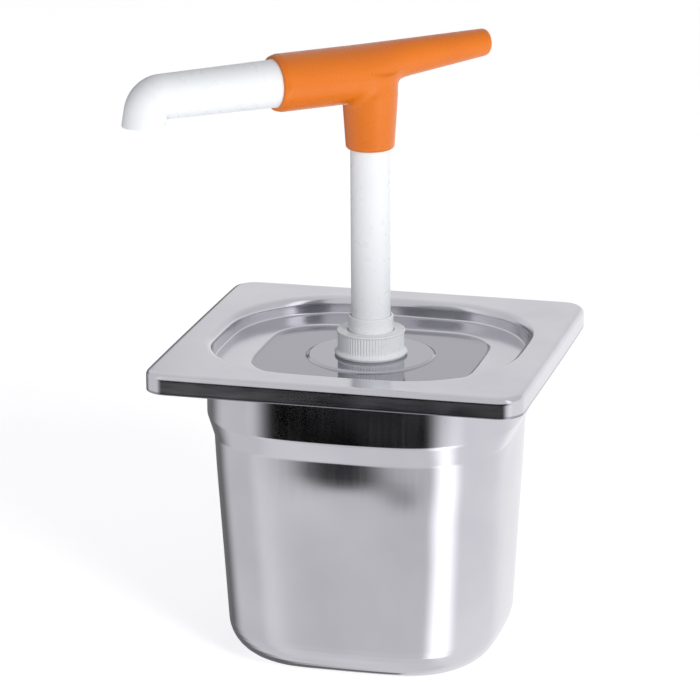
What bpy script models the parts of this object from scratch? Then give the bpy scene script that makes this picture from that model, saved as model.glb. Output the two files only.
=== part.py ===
"""Condiment pump dispenser: a stainless gastronorm pan with a pump lid, built piece by piece.

Metres, +Z up. The origin is the centre of the pan's flat base, on the pump's axis, so the pump's
stroke, the swivel of its head and the lift of its lid all run along the world Z axis.
"""

import math

import bmesh
import bpy
from mathutils import Matrix, Vector

MM = 0.001
GAP = 0.3 * MM            # left between pieces that touch
MERGE = 0.01 * MM

# Pan: one sixth size gastronorm, 176 x 162 over the rim and 150 deep
PAN_SHEET = 0.7 * MM
PAN_DEPTH = 150.0 * MM
PAN_RIM_HALF = (86.9 * MM, 79.9 * MM)
PAN_RIM_CORNER = 10.3 * MM
PAN_RIM_ROUND = 2.0 * MM
PAN_RIM_LOW = 142.0 * MM
PAN_NECK_HALF = (73.1 * MM, 66.1 * MM)
PAN_NECK_CORNER = 48.5 * MM
PAN_NECK_LOW = 119.0 * MM
PAN_NECK_FILLET = 3.0 * MM
PAN_SHOULDER_LOW = 109.5 * MM
PAN_BODY_HALF = (69.0 * MM, 62.0 * MM)
PAN_BODY_CORNER = 40.0 * MM
PAN_FOOT_HALF = (64.4 * MM, 57.4 * MM)
PAN_FOOT_CORNER = 42.0 * MM
PAN_FOOT_ROUND = 17.1 * MM

# Lid: a pressed sheet that laps over the pan's rim and dips inside its neck
LID_SHEET = 0.8 * MM
LID_TOP = PAN_DEPTH + GAP + LID_SHEET
LID_RIM_HALF = tuple(half + GAP + LID_SHEET for half in PAN_RIM_HALF)
LID_RIM_CORNER = PAN_RIM_CORNER + LID_SHEET + 0.2 * MM
LID_RIM_ROUND = 2.8 * MM
LID_SKIRT_LOW = 144.8 * MM
LID_WELL_HALF = (71.5 * MM, 62.8 * MM)
LID_WELL_CORNER = 50.0 * MM
LID_WELL_FILLET = 3.0 * MM
LID_WELL_DRAFT = 0.5 * MM
LID_FLOOR = 143.0 * MM
LID_FLOOR_FILLET = 2.0 * MM
LID_PANEL_HALF = (52.6 * MM, 42.2 * MM)
LID_PANEL_CORNER = 25.0 * MM
LID_PANEL_DROP = 0.8 * MM
LID_BOSS_RADIUS = 29.0 * MM
LID_BOSS_TOP = 143.2 * MM
LID_HOLE = 13.6 * MM
LID_STEP = 1.0 * MM       # run of the steps round the panel and the boss

# Pump barrel, hung through the lid and held by the collar nut
BORE = 11.8 * MM
BARREL_OUTER = 13.2 * MM
BARREL_NECK = 13.0 * MM
BARREL_TOP = 150.5 * MM
BARREL_LOW = 24.0 * MM
BARREL_FLANGE = 19.0 * MM
BARREL_FLANGE_TOP = 140.6 * MM
BARREL_FLANGE_THICK = 2.6 * MM
SPIGOT = BORE - 0.35 * MM
GASKET_OUTER = BARREL_FLANGE - 0.4 * MM
GASKET_INNER = LID_HOLE - 0.1 * MM

COLLAR_LOW = LID_BOSS_TOP + GAP
COLLAR_TOP = 155.0 * MM
COLLAR_RADIUS = 15.6 * MM
COLLAR_LIP = 16.0 * MM
COLLAR_SKIRT = 17.2 * MM
COLLAR_THREAD = 13.4 * MM
COLLAR_ROOF = 152.7 * MM
COLLAR_BORE_GAP = 0.35 * MM
COLLAR_LIP_HEIGHT = 1.4 * MM
COLLAR_FLARE_HEIGHT = 2.6 * MM
EDGE = 0.5 * MM           # the bevel on moulded edges

GUIDE_NECK = 10.6 * MM
GUIDE_TOP = 162.0 * MM
GUIDE_BORE = 9.55 * MM
GUIDE_FLANGE = 12.9 * MM
GUIDE_LOW = 146.0 * MM
WIPER_LOW = 147.2 * MM
WIPER_HIGH = 149.4 * MM
WIPER_GROOVE = 10.7 * MM

# Plunger: a hollow stem with the piston on its foot
STEM_RADIUS = 9.2 * MM
STEM_BORE = 6.2 * MM
STEM_TOP = 261.7 * MM
STEM_SPIGOT = 7.6 * MM
STEM_RING_LOW = 254.0 * MM
STEM_RING_HIGH = 256.6 * MM
STEM_RING_GROOVE = 8.0 * MM
VALVE_BORE = 5.8 * MM
PISTON_TOP = GUIDE_LOW - GAP
PISTON_LOW = 130.0 * MM
PISTON_FLOOR = 3.7 * MM
DISCHARGE_SEAT = 3.0 * MM
DISCHARGE_BALL = 4.2 * MM
STOP_LOW = 144.4 * MM
STOP_HOLE = 2.4 * MM
STOP_HIGH = PISTON_TOP + 0.3 * MM
VALVE_BORE_TOP = PISTON_TOP + 0.9 * MM
SEAL_LOW = PISTON_LOW + 7.0 * MM
SEAL_HIGH = SEAL_LOW + 4.0 * MM
SEAL_GROOVE = SPIGOT - 1.65 * MM

# Foot valve and dip tube
FOOT_TOP = 30.0 * MM
FOOT_LOW = 20.5 * MM
FOOT_HOLE = 4.0 * MM
FOOT_RING_HIGH = FOOT_TOP - 1.6 * MM
FOOT_RING_LOW = FOOT_RING_HIGH - 2.0 * MM
FOOT_RING_GROOVE = SPIGOT - 1.35 * MM
NIPPLE_RADIUS = 5.0 * MM
NIPPLE_LOW = 12.0 * MM
SUCTION_BALL = 5.5 * MM
SEAT_CLEARANCE = 0.15 * MM
CAGE_OUTER = 8.0 * MM
CAGE_INNER = 6.2 * MM
CAGE_TOP = 44.5 * MM
CAGE_HOLE = 3.4 * MM
CAGE_SLOT = 4.0 * MM
CAGE_ROOF = CAGE_TOP - 1.6 * MM
WASHER_THICK = 0.8 * MM
WASHER_TOP = FOOT_TOP + GAP + WASHER_THICK
TUBE_OUTER = 6.7 * MM
TUBE_LOW = 5.0 * MM

# Return spring, between the foot valve's washer and the piston
SPRING_RADIUS = 9.9 * MM
SPRING_WIRE = 0.75 * MM
SPRING_TURNS = 12
SPRING_POINTS_PER_TURN = 10

# Head: the handle and spout, in line across the top of the stem
HEAD_TURN = math.radians(42.0)
TUBE_HEIGHT = 277.2 * MM
HANDLE_RADIUS = 13.25 * MM
HANDLE_MOUTH_RADIUS = 12.45 * MM
HANDLE_MOUTH = 49.3 * MM
HANDLE_CHAMFER = 2.8 * MM
HANDLE_BORE = 11.2 * MM
HANDLE_MOUTH_LIP = 0.1 * MM
TAPER_START = 6.0 * MM
TAIL_START = 13.5 * MM
TAIL_RADIUS = 8.9 * MM
TAIL_END = 61.5 * MM
TAIL_TIP_RADIUS = 6.15 * MM
TAIL_ROOT_RISE = HANDLE_RADIUS - TAIL_RADIUS + 0.33 * MM
TAIL_TIP_RISE = HANDLE_RADIUS - TAIL_TIP_RADIUS + 1.1 * MM
TAIL_END_ROUND = 1.2 * MM
SOCKET_LOW = 241.7 * MM
SOCKET_LOW_RADIUS = 11.1 * MM
SOCKET_HIGH_RADIUS = 12.3 * MM
SOCKET_TAPER_TOP = TUBE_HEIGHT - 10.0 * MM
SOCKET_TAPER_LOW = SOCKET_LOW + 1.6 * MM
SOCKET_CHAMFER = 0.8 * MM
SOCKET_BORE = 9.65 * MM
PASSAGE = 6.0 * MM
SPOUT_TAIL = 20.0 * MM
SPOUT_RADIUS = 10.9 * MM
SPOUT_BEND_RADIUS = 10.2 * MM
SPOUT_OUTLET_RADIUS = 9.7 * MM
SPOUT_BORE = 8.3 * MM
SPOUT_WALL = 0.8 * (SPOUT_RADIUS - SPOUT_BORE)
SPOUT_BEND_START = 101.4 * MM
SPOUT_BEND = 12.0 * MM
SPOUT_SLANT = math.radians(12.0)
OUTLET_HEIGHT = 264.9 * MM
SPOUT_RING_NEAR = 27.0 * MM
SPOUT_RING_FAR = 29.6 * MM
SPOUT_RING_GROOVE = 9.7 * MM

CORNER_STEPS = 6
SIDE_STEPS = 2
TURN_STEPS = 28
INNER_STEPS = 20
HOLLOW_SIDES = 24
STEP = 0.05 * MM          # length of a square step on a curve whose radius jumps
PAST = 1.0 * MM           # how far a cutter runs past the face that it opens
BELOW_OUTLET = 4.0 * MM   # how far the spout runs on before it is cut level
LEVEL_SIZE = 40.0 * MM

STEEL = ("stainless_steel", (0.62, 0.61, 0.64), 0.28, 1.0)
WHITE = ("white_plastic", (0.86, 0.87, 0.88), 0.32, 0.0)
ORANGE = ("orange_plastic", (0.85, 0.23, 0.02), 0.3, 0.0)
CLEAR_GREY = ("silicone", (0.55, 0.56, 0.57), 0.55, 0.0)
BLACK = ("black_rubber", (0.03, 0.03, 0.03), 0.6, 0.0)
SPRING_STEEL = ("spring_steel", (0.55, 0.55, 0.56), 0.25, 1.0)


def clear_scene():
    for old in list(bpy.data.objects):
        bpy.data.objects.remove(old, do_unlink=True)


def new_collection(name):
    collection = bpy.data.collections.new(name)
    bpy.context.scene.collection.children.link(collection)
    return collection


clear_scene()
PARTS = new_collection("condiment_pump_dispenser")
CUTTERS = new_collection("cutters")


def make_material(look, piece):
    name, colour, roughness, metallic = look
    material = bpy.data.materials.new(f"{name}_{piece}")
    material.use_nodes = True
    shader = material.node_tree.nodes["Principled BSDF"]
    shader.inputs["Base Color"].default_value = (*colour, 1.0)
    shader.inputs["Roughness"].default_value = roughness
    shader.inputs["Metallic"].default_value = metallic
    return material


def finish_part(part, look):
    """Gives a part its material and smooth shading; a part is already in its collection."""
    part.data.materials.clear()
    part.data.materials.append(make_material(look, part.name))
    if part.type == "MESH":
        part.data.shade_smooth()
        part.data.set_sharp_from_angle(angle=math.radians(35))
    return part


def as_cutter(cutter):
    """Moves an object to the cutters: shown as wires, never rendered."""
    PARTS.objects.unlink(cutter)
    CUTTERS.objects.link(cutter)
    cutter.hide_render = True
    cutter.display_type = "WIRE"
    return cutter


def combine(part, other, operation):
    """Boolean of a part with an object that becomes a cutter."""
    if other.name not in CUTTERS.objects:
        as_cutter(other)
    modifier = part.modifiers.new(other.name, "BOOLEAN")
    modifier.operation = operation
    modifier.solver = "EXACT"
    modifier.object = other


def turned(name, profile, closed=True, steps=TURN_STEPS, height=0.0):
    """A turned piece. The profile's (radius, height) points run down the outer side first."""
    mesh = bpy.data.meshes.new(name)
    points = [(radius, 0.0, z - height) for radius, z in profile]
    edges = [(i, i + 1) for i in range(len(points) - 1)]
    if closed:
        edges.append((len(points) - 1, 0))
    mesh.from_pydata(points, edges, [])
    part = bpy.data.objects.new(name, mesh)
    part.location = (0.0, 0.0, height)
    PARTS.objects.link(part)
    screw = part.modifiers.new("turn", "SCREW")
    screw.axis = "Z"
    screw.angle = math.tau
    screw.steps = steps
    screw.render_steps = steps
    screw.use_merge_vertices = True
    screw.merge_threshold = MERGE
    screw.use_smooth_shade = True
    return part


def sleeve(name, outer, inner, low, high, steps=TURN_STEPS):
    """A plain turned ring with a square section."""
    return turned(name, [(outer, high), (outer, low), (inner, low), (inner, high)], steps=steps)


def cord_ring(name, outer, inner, low, high, steps=INNER_STEPS):
    """A turned ring with rounded corners, as a rubber cord ring or a washer has."""
    cut = 0.25 * min(outer - inner, high - low)
    profile = [
        (outer - cut, high), (outer, high - cut), (outer, low + cut), (outer - cut, low),
        (inner + cut, low), (inner, low + cut), (inner, high - cut), (inner + cut, high),
    ]
    return turned(name, profile, steps=steps)


def arc(centre, radius, start, end, count):
    """Points of an arc in a section plane, angles in degrees, both ends included."""
    points = []
    for i in range(count + 1):
        angle = math.radians(start + (end - start) * i / count)
        points.append((centre[0] + radius * math.cos(angle), centre[1] + radius * math.sin(angle)))
    return points


def rounded_ring(half, corner, z):
    """One level of a pressing: a rounded rectangle, as many points in each quarter of each level."""
    points = []
    for quarter in range(4):
        along, across = half if quarter % 2 == 0 else half[::-1]
        centre = (along - corner, across - corner)
        side = [(along, centre[1] * i / SIDE_STEPS) for i in range(SIDE_STEPS)]
        side += arc(centre, corner, 0, 90, CORNER_STEPS)
        side += [(centre[0] * (1.0 - i / SIDE_STEPS), across) for i in range(1, SIDE_STEPS)]
        turn = Matrix.Rotation(math.radians(90.0 * quarter), 2)
        points += [(*(turn @ Vector(point)), z) for point in side]
    return points


def round_ring(radius, z):
    """One level of a pressing: a circle with as many points as a rounded rectangle has."""
    count = 4 * (2 * SIDE_STEPS + CORNER_STEPS)
    around = arc((0.0, 0.0), radius, 0, 360, count)
    return [(x, y, z) for x, y in around[:-1]]


def grown(half, corner, offset, z):
    return rounded_ring([side + offset for side in half], corner + offset, z)


def pressed_sheet(name, rings, sheet, close_first=False):
    """A pressing: rings of points joined by quads, thickened away from the side they show."""
    mesh = bpy.data.meshes.new(name)
    build = bmesh.new()
    levels = [[build.verts.new(point) for point in ring] for ring in rings]
    for upper, lower in zip(levels, levels[1:]):
        count = len(upper)
        for i in range(count):
            j = (i + 1) % count
            build.faces.new((upper[i], upper[j], lower[j], lower[i]))
    if close_first:
        build.faces.new(list(reversed(levels[0])))
    bmesh.ops.recalc_face_normals(build, faces=build.faces)
    # the side that shows is the one whose widest flat ring faces up
    flat = max((face for face in build.faces if abs(face.normal.z) > 0.99),
               key=lambda face: face.calc_area())
    if flat.normal.z < 0.0:
        bmesh.ops.reverse_faces(build, faces=build.faces)
    build.to_mesh(mesh)
    build.free()
    part = bpy.data.objects.new(name, mesh)
    PARTS.objects.link(part)
    solid = part.modifiers.new("sheet", "SOLIDIFY")
    solid.thickness = sheet
    solid.offset = -1.0
    solid.use_even_offset = True
    return part


def swept(name, path, radii, sides=TURN_STEPS):
    """A round bar along a path of points, with its own radius at each point, as a mesh."""
    curve = bpy.data.curves.new(name, "CURVE")
    curve.dimensions = "3D"
    curve.bevel_depth = MM
    curve.bevel_resolution = sides // 2 - 2
    curve.use_fill_caps = True
    curve.resolution_u = 1
    spline = curve.splines.new("POLY")
    spline.points.add(len(path) - 1)
    for point, place, radius in zip(spline.points, path, radii):
        point.co = (*place, 1.0)
        point.radius = radius / MM
    bar = bpy.data.objects.new(f"{name}_path", curve)
    PARTS.objects.link(bar)
    bpy.context.view_layer.update()
    graph = bpy.context.evaluated_depsgraph_get()
    mesh = bpy.data.meshes.new_from_object(bar.evaluated_get(graph))
    weld = bmesh.new()
    weld.from_mesh(mesh)
    bmesh.ops.remove_doubles(weld, verts=weld.verts, dist=MERGE)
    weld.to_mesh(mesh)
    weld.free()
    part = bpy.data.objects.new(name, mesh)
    PARTS.objects.link(part)
    part.matrix_world = bar.matrix_world
    bpy.data.objects.remove(bar)
    return part


def pan_rings():
    """The pan's inner and upper side, from the base out to the edge of its turned-down rim."""
    rings = []
    inside_base = PAN_SHEET
    for offset, rise in arc((0.0, 0.0), PAN_FOOT_ROUND, -90, 0, 5):
        rings.append(grown(PAN_FOOT_HALF, PAN_FOOT_CORNER, offset - PAN_FOOT_ROUND,
                           inside_base + PAN_FOOT_ROUND + rise))
    shoulder = [(0.0, 0.0), (0.3, 0.14), (0.55, 0.5), (0.78, 0.86), (1.0, 1.0)]
    for along, out in shoulder:
        half = [body + (neck - body) * out for body, neck in zip(PAN_BODY_HALF, PAN_NECK_HALF)]
        corner = PAN_BODY_CORNER + (PAN_NECK_CORNER - PAN_BODY_CORNER) * out
        z = PAN_SHOULDER_LOW + (PAN_NECK_LOW - PAN_SHOULDER_LOW) * along
        rings.append(rounded_ring(half, corner, z))
    fillet = arc((PAN_NECK_FILLET, -PAN_NECK_FILLET), PAN_NECK_FILLET, 180, 90, 3)
    for offset, drop in fillet:
        rings.append(grown(PAN_NECK_HALF, PAN_NECK_CORNER, offset, PAN_DEPTH + drop))
    for offset, drop in arc((-PAN_RIM_ROUND, -PAN_RIM_ROUND), PAN_RIM_ROUND, 90, 0, 3):
        rings.append(grown(PAN_RIM_HALF, PAN_RIM_CORNER, offset, PAN_DEPTH + drop))
    rings.append(grown(PAN_RIM_HALF, PAN_RIM_CORNER, 0.0, PAN_RIM_LOW))
    return rings


def lid_rings():
    """The lid's upper side, from the edge of its skirt in to the hole for the barrel."""
    rings = [grown(LID_RIM_HALF, LID_RIM_CORNER, 0.0, LID_SKIRT_LOW)]
    for offset, drop in arc((-LID_RIM_ROUND, -LID_RIM_ROUND), LID_RIM_ROUND, 0, 90, 3):
        rings.append(grown(LID_RIM_HALF, LID_RIM_CORNER, offset, LID_TOP + drop))
    for offset, drop in arc((LID_WELL_FILLET, -LID_WELL_FILLET), LID_WELL_FILLET, 90, 180, 3):
        rings.append(grown(LID_WELL_HALF, LID_WELL_CORNER, offset, LID_TOP + drop))
    floor_arc = arc((-LID_FLOOR_FILLET, LID_FLOOR_FILLET), LID_FLOOR_FILLET, 0, -90, 3)
    for offset, rise in floor_arc:
        rings.append(grown(LID_WELL_HALF, LID_WELL_CORNER, offset - LID_WELL_DRAFT,
                           LID_FLOOR + rise))
    rings.append(grown(LID_PANEL_HALF, LID_PANEL_CORNER, 0.5 * LID_STEP, LID_FLOOR))
    rings.append(grown(LID_PANEL_HALF, LID_PANEL_CORNER, -0.5 * LID_STEP, LID_FLOOR - LID_PANEL_DROP))
    rings.append(round_ring(LID_BOSS_RADIUS + LID_STEP, LID_FLOOR - LID_PANEL_DROP))
    rings.append(round_ring(LID_BOSS_RADIUS, LID_BOSS_TOP))
    rings.append(round_ring(LID_HOLE, LID_BOSS_TOP))
    return rings


def build_container():
    pan = pressed_sheet("pan", pan_rings(), PAN_SHEET, close_first=True)
    finish_part(pan, STEEL)


def build_lid():
    finish_part(pressed_sheet("lid", lid_rings(), LID_SHEET), STEEL)
    gasket_high = LID_BOSS_TOP - LID_SHEET - GAP
    gasket = cord_ring("barrel_gasket", GASKET_OUTER, GASKET_INNER, BARREL_FLANGE_TOP + GAP,
                       gasket_high, steps=TURN_STEPS)
    finish_part(gasket, CLEAR_GREY)


def build_collar():
    lip_low = COLLAR_TOP - COLLAR_LIP_HEIGHT
    bore = GUIDE_NECK + COLLAR_BORE_GAP
    collar = turned("collar_nut", [
        (COLLAR_LIP - EDGE, COLLAR_TOP), (COLLAR_LIP, COLLAR_TOP - EDGE), (COLLAR_LIP, lip_low),
        (COLLAR_RADIUS, lip_low - EDGE), (COLLAR_RADIUS, COLLAR_LOW + COLLAR_FLARE_HEIGHT),
        (COLLAR_SKIRT, COLLAR_LOW + 2.0 * EDGE), (COLLAR_SKIRT, COLLAR_LOW),
        (COLLAR_THREAD, COLLAR_LOW), (COLLAR_THREAD, COLLAR_ROOF), (bore, COLLAR_ROOF),
        (bore, COLLAR_TOP),
    ])
    finish_part(collar, WHITE)

    flange_high = COLLAR_ROOF - GAP
    flange_low = BARREL_TOP + GAP
    guide = turned("stem_guide", [
        (GUIDE_NECK - EDGE, GUIDE_TOP), (GUIDE_NECK, GUIDE_TOP - 2.0 * EDGE),
        (GUIDE_NECK, flange_high), (GUIDE_FLANGE, flange_high), (GUIDE_FLANGE, flange_low),
        (SPIGOT, flange_low), (SPIGOT, GUIDE_LOW), (GUIDE_BORE, GUIDE_LOW),
        (GUIDE_BORE, WIPER_LOW), (WIPER_GROOVE, WIPER_LOW), (WIPER_GROOVE, WIPER_HIGH),
        (GUIDE_BORE, WIPER_HIGH), (GUIDE_BORE, GUIDE_TOP),
    ])
    finish_part(guide, WHITE)
    wiper = cord_ring("stem_wiper", WIPER_GROOVE - GAP, GUIDE_BORE - 0.05 * MM,
                      WIPER_LOW + GAP, WIPER_HIGH - GAP, steps=TURN_STEPS)
    finish_part(wiper, BLACK)


def build_barrel():
    flange_low = BARREL_FLANGE_TOP - BARREL_FLANGE_THICK
    barrel = turned("pump_barrel", [
        (BARREL_NECK, BARREL_TOP), (BARREL_NECK, BARREL_FLANGE_TOP),
        (BARREL_FLANGE, BARREL_FLANGE_TOP), (BARREL_FLANGE, flange_low),
        (BARREL_OUTER, flange_low), (BARREL_OUTER, BARREL_LOW),
        (BORE, BARREL_LOW), (BORE, BARREL_TOP),
    ])
    finish_part(barrel, WHITE)


def build_foot_valve():
    flange_high = BARREL_LOW - GAP
    seat = turned("foot_valve_seat", [
        (SPIGOT, FOOT_TOP), (SPIGOT, FOOT_RING_HIGH), (FOOT_RING_GROOVE, FOOT_RING_HIGH),
        (FOOT_RING_GROOVE, FOOT_RING_LOW), (SPIGOT, FOOT_RING_LOW), (SPIGOT, flange_high),
        (BARREL_OUTER, flange_high), (BARREL_OUTER, FOOT_LOW), (NIPPLE_RADIUS, FOOT_LOW),
        (NIPPLE_RADIUS, NIPPLE_LOW), (FOOT_HOLE, NIPPLE_LOW), (FOOT_HOLE, FOOT_TOP),
    ], steps=INNER_STEPS)
    finish_part(seat, WHITE)
    ring = cord_ring("foot_valve_ring", BORE - GAP, FOOT_RING_GROOVE + GAP,
                     FOOT_RING_LOW + GAP, FOOT_RING_HIGH - GAP)
    finish_part(ring, BLACK)

    cage_low = FOOT_TOP + GAP
    cage = turned("ball_cage", [
        (CAGE_OUTER, CAGE_TOP), (CAGE_OUTER, cage_low), (CAGE_INNER, cage_low),
        (CAGE_INNER, CAGE_ROOF), (CAGE_HOLE, CAGE_ROOF), (CAGE_HOLE, CAGE_TOP),
    ], steps=INNER_STEPS)
    slot_low = cage_low + CAGE_SLOT
    slot_high = CAGE_ROOF - 0.3 * CAGE_SLOT
    for turn in (0.0, 90.0):
        bpy.ops.mesh.primitive_cube_add(size=1.0, location=(0.0, 0.0, 0.5 * (slot_low + slot_high)))
        slot = bpy.context.object
        slot.name = f"cage_slot_{turn:.0f}"
        slot.rotation_euler = (0.0, 0.0, math.radians(turn))
        slot.scale = (4.0 * CAGE_OUTER, CAGE_SLOT, slot_high - slot_low)
        for owner in list(slot.users_collection):
            owner.objects.unlink(slot)
        PARTS.objects.link(slot)
        combine(cage, slot, "DIFFERENCE")
    finish_part(cage, WHITE)

    washer = cord_ring("spring_washer", SPIGOT, CAGE_OUTER + GAP, FOOT_TOP + GAP, WASHER_TOP)
    finish_part(washer, SPRING_STEEL)
    tube = sleeve("dip_tube", TUBE_OUTER, NIPPLE_RADIUS + GAP, TUBE_LOW, FOOT_LOW - GAP,
                  steps=INNER_STEPS)
    finish_part(tube, CLEAR_GREY)


def valve_ball(name, radius, seat_radius, seat_height):
    """A check ball resting on the edge of its seat, its origin at its own centre."""
    rise = math.sqrt(radius ** 2 - seat_radius ** 2) + SEAT_CLEARANCE
    height = seat_height + rise
    ball = turned(name, [(radius * math.sin(math.radians(angle)),
                          height + radius * math.cos(math.radians(angle)))
                         for angle in range(0, 181, 20)],
                  closed=False, steps=INNER_STEPS, height=height)
    finish_part(ball, SPRING_STEEL)


def build_plunger():
    stem = turned("plunger_stem", [
        (STEM_RADIUS - EDGE, STEM_TOP), (STEM_RADIUS, STEM_TOP - EDGE),
        (STEM_RADIUS, STEM_RING_HIGH), (STEM_RING_GROOVE, STEM_RING_HIGH),
        (STEM_RING_GROOVE, STEM_RING_LOW), (STEM_RADIUS, STEM_RING_LOW),
        (STEM_RADIUS, PISTON_TOP + GAP), (STEM_SPIGOT, PISTON_TOP + GAP),
        (STEM_SPIGOT, PISTON_LOW + PISTON_FLOOR + GAP),
        (VALVE_BORE, PISTON_LOW + PISTON_FLOOR + GAP), (VALVE_BORE, VALVE_BORE_TOP),
        (STEM_BORE, VALVE_BORE_TOP), (STEM_BORE, STEM_TOP),
    ])
    finish_part(stem, WHITE)

    piston = turned("piston", [
        (SPIGOT, PISTON_TOP), (SPIGOT, SEAL_HIGH), (SEAL_GROOVE, SEAL_HIGH),
        (SEAL_GROOVE, SEAL_LOW), (SPIGOT, SEAL_LOW), (SPIGOT, PISTON_LOW), (DISCHARGE_SEAT, PISTON_LOW),
        (DISCHARGE_SEAT, PISTON_LOW + PISTON_FLOOR),
        (STEM_SPIGOT + GAP, PISTON_LOW + PISTON_FLOOR), (STEM_SPIGOT + GAP, PISTON_TOP),
    ])
    finish_part(piston, WHITE)
    seal = cord_ring("piston_seal", BORE - 0.2 * MM, SEAL_GROOVE + GAP,
                     SEAL_LOW + GAP, SEAL_HIGH - GAP, steps=TURN_STEPS)
    finish_part(seal, CLEAR_GREY)

    stop = cord_ring("discharge_ball_stop", VALVE_BORE - GAP, STOP_HOLE, STOP_LOW, STOP_HIGH)
    finish_part(stop, WHITE)
    ring = cord_ring("stem_ring", STEM_RADIUS + 0.15 * MM, STEM_RING_GROOVE + GAP,
                     STEM_RING_LOW + GAP, STEM_RING_HIGH - GAP, steps=TURN_STEPS)
    finish_part(ring, BLACK)


def build_spring():
    """The return spring, an open helix between the washer and the piston."""
    low = WASHER_TOP + GAP + SPRING_WIRE
    high = PISTON_LOW - GAP - SPRING_WIRE
    count = SPRING_TURNS * SPRING_POINTS_PER_TURN
    path = []
    for i in range(count + 1):
        angle = math.tau * i / SPRING_POINTS_PER_TURN
        path.append((SPRING_RADIUS * math.cos(angle), SPRING_RADIUS * math.sin(angle),
                     low + (high - low) * i / count))
    spring = swept("return_spring", path, [SPRING_WIRE] * len(path), sides=8)
    finish_part(spring, SPRING_STEEL)


def on_head(part, axis):
    """Puts a part on the head's turned axis."""
    part.parent = axis
    return part


def build_handle(axis):
    """The grip: a tube with a tapering tail, and a socket that takes the stem from below."""
    path = [(-HANDLE_MOUTH, 0.0), (HANDLE_CHAMFER - HANDLE_MOUTH, 0.0), (-TAPER_START, 0.0),
            (TAIL_START, TAIL_ROOT_RISE), (TAIL_END - TAIL_END_ROUND, TAIL_TIP_RISE),
            (TAIL_END, TAIL_TIP_RISE)]
    radii = [HANDLE_BORE + HANDLE_MOUTH_LIP, HANDLE_MOUTH_RADIUS, HANDLE_RADIUS, TAIL_RADIUS,
             TAIL_TIP_RADIUS, TAIL_TIP_RADIUS - TAIL_END_ROUND]
    handle = swept("handle", [(x, 0.0, TUBE_HEIGHT + rise) for x, rise in path], radii)

    socket = turned("handle_socket", [
        (0.0, TUBE_HEIGHT), (SOCKET_HIGH_RADIUS, TUBE_HEIGHT),
        (SOCKET_HIGH_RADIUS, SOCKET_TAPER_TOP), (SOCKET_LOW_RADIUS, SOCKET_TAPER_LOW),
        (SOCKET_LOW_RADIUS - SOCKET_CHAMFER, SOCKET_LOW), (0.0, SOCKET_LOW),
    ], closed=False)
    combine(handle, on_head(socket, axis), "UNION")

    bore = turned("stem_bore", [
        (0.0, TUBE_HEIGHT), (PASSAGE, TUBE_HEIGHT), (PASSAGE, STEM_TOP + GAP),
        (SOCKET_BORE, STEM_TOP + GAP), (SOCKET_BORE, SOCKET_LOW - PAST),
        (0.0, SOCKET_LOW - PAST),
    ], closed=False)
    combine(handle, on_head(bore, axis), "DIFFERENCE")
    reach = SPOUT_TAIL - EDGE
    past = HANDLE_MOUTH + PAST
    channel = swept("spout_bore", [(x, 0.0, TUBE_HEIGHT) for x in (-past, -reach, STEP - reach, 0.0)],
                    [HANDLE_BORE, HANDLE_BORE, PASSAGE, PASSAGE])
    combine(handle, on_head(channel, axis), "DIFFERENCE")
    finish_part(on_head(handle, axis), ORANGE)


def spout_path():
    """Centre line of the spout, from the start of its bend to below its outlet."""
    path = [(-SPOUT_BEND_START, TUBE_HEIGHT)]
    turn = 90.0 - math.degrees(SPOUT_SLANT)
    bend = arc((-SPOUT_BEND_START, TUBE_HEIGHT - SPOUT_BEND), SPOUT_BEND, 90, 90 + turn, 5)
    path += bend[1:]
    x, z = path[-1]
    fall = z - OUTLET_HEIGHT
    for extra in (fall, fall + BELOW_OUTLET):
        path.append((x - extra * math.tan(SPOUT_SLANT), z - extra))
    return path


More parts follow.
